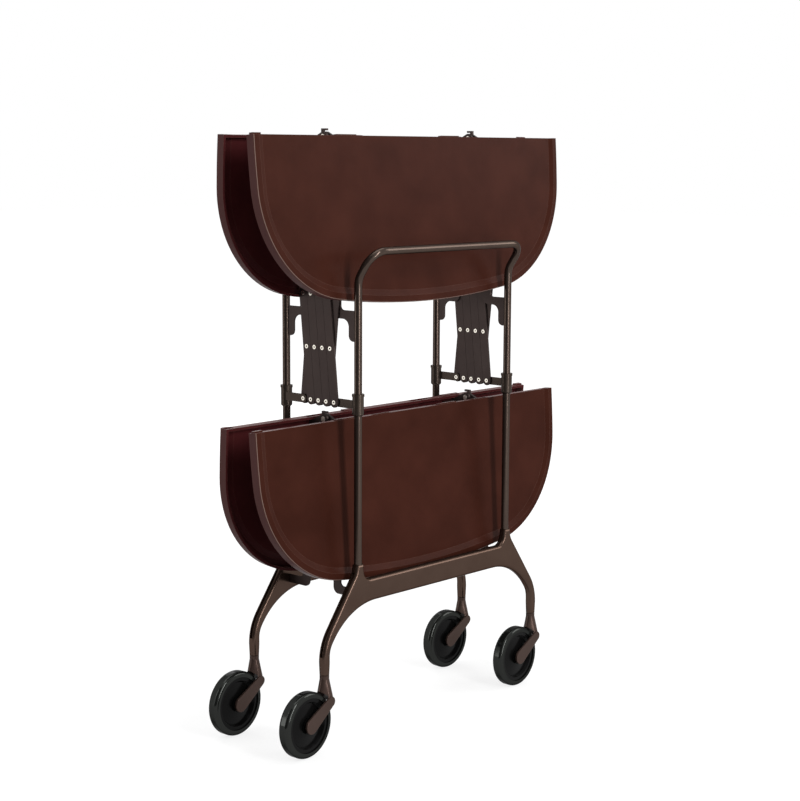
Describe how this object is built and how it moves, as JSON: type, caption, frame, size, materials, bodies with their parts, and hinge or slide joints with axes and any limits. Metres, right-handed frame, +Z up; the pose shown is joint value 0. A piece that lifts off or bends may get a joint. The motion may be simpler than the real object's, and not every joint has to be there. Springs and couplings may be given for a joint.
{
  "type": "folding serving trolley",
  "caption": "Folding serving trolley stored folded: hinged upper and lower D-shaped tray leaves on tubular end frames with handles, lazy tongs at the sides and swivel casters.",
  "frame": {"origin": "on the floor under the middle of the folded trolley", "axes": "+X along the trays' straight edges, -Y the front, +Z up"},
  "size_m": [0.696, 0.2234, 0.9239],
  "materials": {
    "tray": "satin dark red-brown moulding",
    "tube": "dark bronze lacquer, glossy",
    "casting": "satin taupe lacquer",
    "plate": "satin dark grey-brown lacquer",
    "collar": "satin dark brown lacquer",
    "fastener": "nickelled",
    "wheel": "glossy black",
    "tyre": "satin black"
  },
  "bodies": {
    "front_frame": {"front_tube": "tube", "front_base": "casting", "front_upper_brackets": "plate", "front_lower_brackets": "plate"},
    "rear_frame": {"rear_tube": "tube", "rear_base": "casting", "rear_upper_brackets": "plate", "rear_lower_brackets": "plate"},
    "upper_front_leaf": {"upper_front_leaf": "tray", "upper_front_hinge_plates": "plate", "upper_front_fasteners": "fastener"},
    "upper_rear_leaf": {"upper_rear_leaf": "tray", "upper_rear_hinge_plates": "plate", "upper_rear_fasteners": "fastener"},
    "lower_front_leaf": {"lower_front_leaf": "tray", "lower_front_hinge_plates": "plate", "lower_front_fasteners": "fastener"},
    "lower_rear_leaf": {"lower_rear_leaf": "tray", "lower_rear_hinge_plates": "plate", "lower_rear_fasteners": "fastener"},
    "front_bars_1": {"front_bars_1": "plate", "front_rivets_1": "fastener"},
    "front_bars_2": {"front_bars_2": "plate", "front_rivets_2": "fastener"},
    "front_bars_3": {"front_bars_3": "plate", "front_rivets_3": "fastener"},
    "front_bars_4": {"front_bars_4": "plate", "front_rivets_4": "fastener"},
    "front_collars": {"front_collars": "collar"},
    "rear_bars_1": {"rear_bars_1": "plate", "rear_rivets_1": "fastener"},
    "rear_bars_2": {"rear_bars_2": "plate", "rear_rivets_2": "fastener"},
    "rear_bars_3": {"rear_bars_3": "plate", "rear_rivets_3": "fastener"},
    "rear_bars_4": {"rear_bars_4": "plate", "rear_rivets_4": "fastener"},
    "rear_collars": {"rear_collars": "collar"},
    "front_left_fork": {"front_left_fork": "casting", "front_left_axle": "fastener"},
    "front_left_wheel": {"front_left_wheel": "wheel", "front_left_tyre": "tyre"},
    "front_right_fork": {"front_right_fork": "casting", "front_right_axle": "fastener"},
    "front_right_wheel": {"front_right_wheel": "wheel", "front_right_tyre": "tyre"},
    "rear_left_fork": {"rear_left_fork": "casting", "rear_left_axle": "fastener"},
    "rear_left_wheel": {"rear_left_wheel": "wheel", "rear_left_tyre": "tyre"},
    "rear_right_fork": {"rear_right_fork": "casting", "rear_right_axle": "fastener"},
    "rear_right_wheel": {"rear_right_wheel": "wheel", "rear_right_tyre": "tyre"}
  },
  "joints": [
    {"name": "fold", "type": "hinge", "parent": "front_frame", "child": "upper_front_leaf", "pos_m": [0, -0.0335, 0.69636], "axis": [-1, 0, 0], "range_deg": [0, 85.8]},
    {"name": "upper_centre", "type": "hinge", "parent": "upper_front_leaf", "child": "upper_rear_leaf", "pos_m": [0, 0, 0.91138], "axis": [-1, 0, 0], "range_deg": [-171.8, 0]},
    {"name": "upper_rear_pivot", "type": "hinge", "parent": "upper_rear_leaf", "child": "rear_frame", "pos_m": [0, 0.0335, 0.69636], "axis": [-1, 0, 0], "range_deg": [0, 86]},
    {"name": "lower_front_pivot", "type": "hinge", "parent": "front_frame", "child": "lower_front_leaf", "pos_m": [0, -0.0335, 0.2708], "axis": [-1, 0, 0], "range_deg": [0, 86]},
    {"name": "lower_centre", "type": "hinge", "parent": "lower_front_leaf", "child": "lower_rear_leaf", "pos_m": [0, 0, 0.48582], "axis": [-1, 0, 0], "range_deg": [-171.8, 0]},
    {"name": "front_bars_1_pivot", "type": "hinge", "parent": "front_frame", "child": "front_bars_1", "pos_m": [0, -0.033, 0.67766], "axis": [-1, 0, 0], "range_deg": [-36.08, 0]},
    {"name": "front_bars_2_pivot", "type": "hinge", "parent": "front_bars_1", "child": "front_bars_2", "pos_m": [0, -0.02475, 0.59676], "axis": [-1, 0, 0], "range_deg": [0, 71.96]},
    {"name": "front_bars_3_pivot", "type": "hinge", "parent": "front_bars_2", "child": "front_bars_3", "pos_m": [0, -0.0165, 0.67766], "axis": [-1, 0, 0], "range_deg": [-71.96, 0]},
    {"name": "front_bars_4_pivot", "type": "hinge", "parent": "front_bars_3", "child": "front_bars_4", "pos_m": [0, -0.00825, 0.59676], "axis": [-1, 0, 0], "range_deg": [0, 71.96]},
    {"name": "front_collars_pivot", "type": "hinge", "parent": "front_bars_2", "child": "front_collars", "pos_m": [0, -0.033, 0.51586], "axis": [-1, 0, 0], "range_deg": [-36.08, 0]},
    {"name": "rear_bars_1_pivot", "type": "hinge", "parent": "rear_frame", "child": "rear_bars_1", "pos_m": [0, 0.033, 0.67766], "axis": [-1, 0, 0], "range_deg": [0, 36.08]},
    {"name": "rear_bars_2_pivot", "type": "hinge", "parent": "rear_bars_1", "child": "rear_bars_2", "pos_m": [0, 0.02475, 0.59676], "axis": [-1, 0, 0], "range_deg": [-71.96, 0]},
    {"name": "rear_bars_3_pivot", "type": "hinge", "parent": "rear_bars_2", "child": "rear_bars_3", "pos_m": [0, 0.0165, 0.67766], "axis": [-1, 0, 0], "range_deg": [0, 71.96]},
    {"name": "rear_bars_4_pivot", "type": "hinge", "parent": "rear_bars_3", "child": "rear_bars_4", "pos_m": [0, 0.00825, 0.59676], "axis": [-1, 0, 0], "range_deg": [-71.96, 0]},
    {"name": "rear_collars_pivot", "type": "hinge", "parent": "rear_bars_2", "child": "rear_collars", "pos_m": [0, 0.033, 0.51586], "axis": [-1, 0, 0], "range_deg": [0, 36.08]},
    {"name": "front_left_swivel", "type": "hinge", "parent": "front_frame", "child": "front_left_fork", "pos_m": [-0.2475, -0.07667, 0.116], "axis": [0, 0, 1], "continuous": true},
    {"name": "front_left_roll", "type": "hinge", "parent": "front_left_fork", "child": "front_left_wheel", "pos_m": [-0.29042, -0.07929, 0.05], "axis": [-0.061, 0.9981, 0], "continuous": true},
    {"name": "front_right_swivel", "type": "hinge", "parent": "front_frame", "child": "front_right_fork", "pos_m": [0.2475, -0.07667, 0.116], "axis": [0, 0, 1], "continuous": true},
    {"name": "front_right_roll", "type": "hinge", "parent": "front_right_fork", "child": "front_right_wheel", "pos_m": [0.20451, -0.07779, 0.05], "axis": [-0.0262, 0.9997, 0], "continuous": true},
    {"name": "rear_left_swivel", "type": "hinge", "parent": "rear_frame", "child": "rear_left_fork", "pos_m": [-0.2475, 0.07667, 0.116], "axis": [0, 0, 1], "continuous": true},
    {"name": "rear_left_roll", "type": "hinge", "parent": "rear_left_fork", "child": "rear_left_wheel", "pos_m": [-0.29044, 0.07442, 0.05], "axis": [-0.0523, 0.9986, 0], "continuous": true},
    {"name": "rear_right_swivel", "type": "hinge", "parent": "rear_frame", "child": "rear_right_fork", "pos_m": [0.2475, 0.07667, 0.116], "axis": [0, 0, 1], "continuous": true},
    {"name": "rear_right_roll", "type": "hinge", "parent": "rear_right_fork", "child": "rear_right_wheel", "pos_m": [0.2045, 0.07667, 0.05], "axis": [0, 1, 0], "continuous": true}
  ],
  "couplings": [
    {"joint": "upper_centre", "follows": "fold", "ratio": -2},
    {"joint": "upper_rear_pivot", "follows": "fold", "ratio": 1},
    {"joint": "lower_front_pivot", "follows": "fold", "ratio": 1},
    {"joint": "lower_centre", "follows": "fold", "ratio": -2},
    {"joint": "front_bars_1_pivot", "follows": "fold", "ratio": -0.41819},
    {"joint": "front_bars_2_pivot", "follows": "fold", "ratio": 0.83638},
    {"joint": "front_bars_3_pivot", "follows": "fold", "ratio": -0.83638},
    {"joint": "front_bars_4_pivot", "follows": "fold", "ratio": 0.83638},
    {"joint": "front_collars_pivot", "follows": "fold", "ratio": -0.41819},
    {"joint": "rear_bars_1_pivot", "follows": "fold", "ratio": 0.41819},
    {"joint": "rear_bars_2_pivot", "follows": "fold", "ratio": -0.83638},
    {"joint": "rear_bars_3_pivot", "follows": "fold", "ratio": 0.83638},
    {"joint": "rear_bars_4_pivot", "follows": "fold", "ratio": -0.83638},
    {"joint": "rear_collars_pivot", "follows": "fold", "ratio": 0.41819}
  ]
}
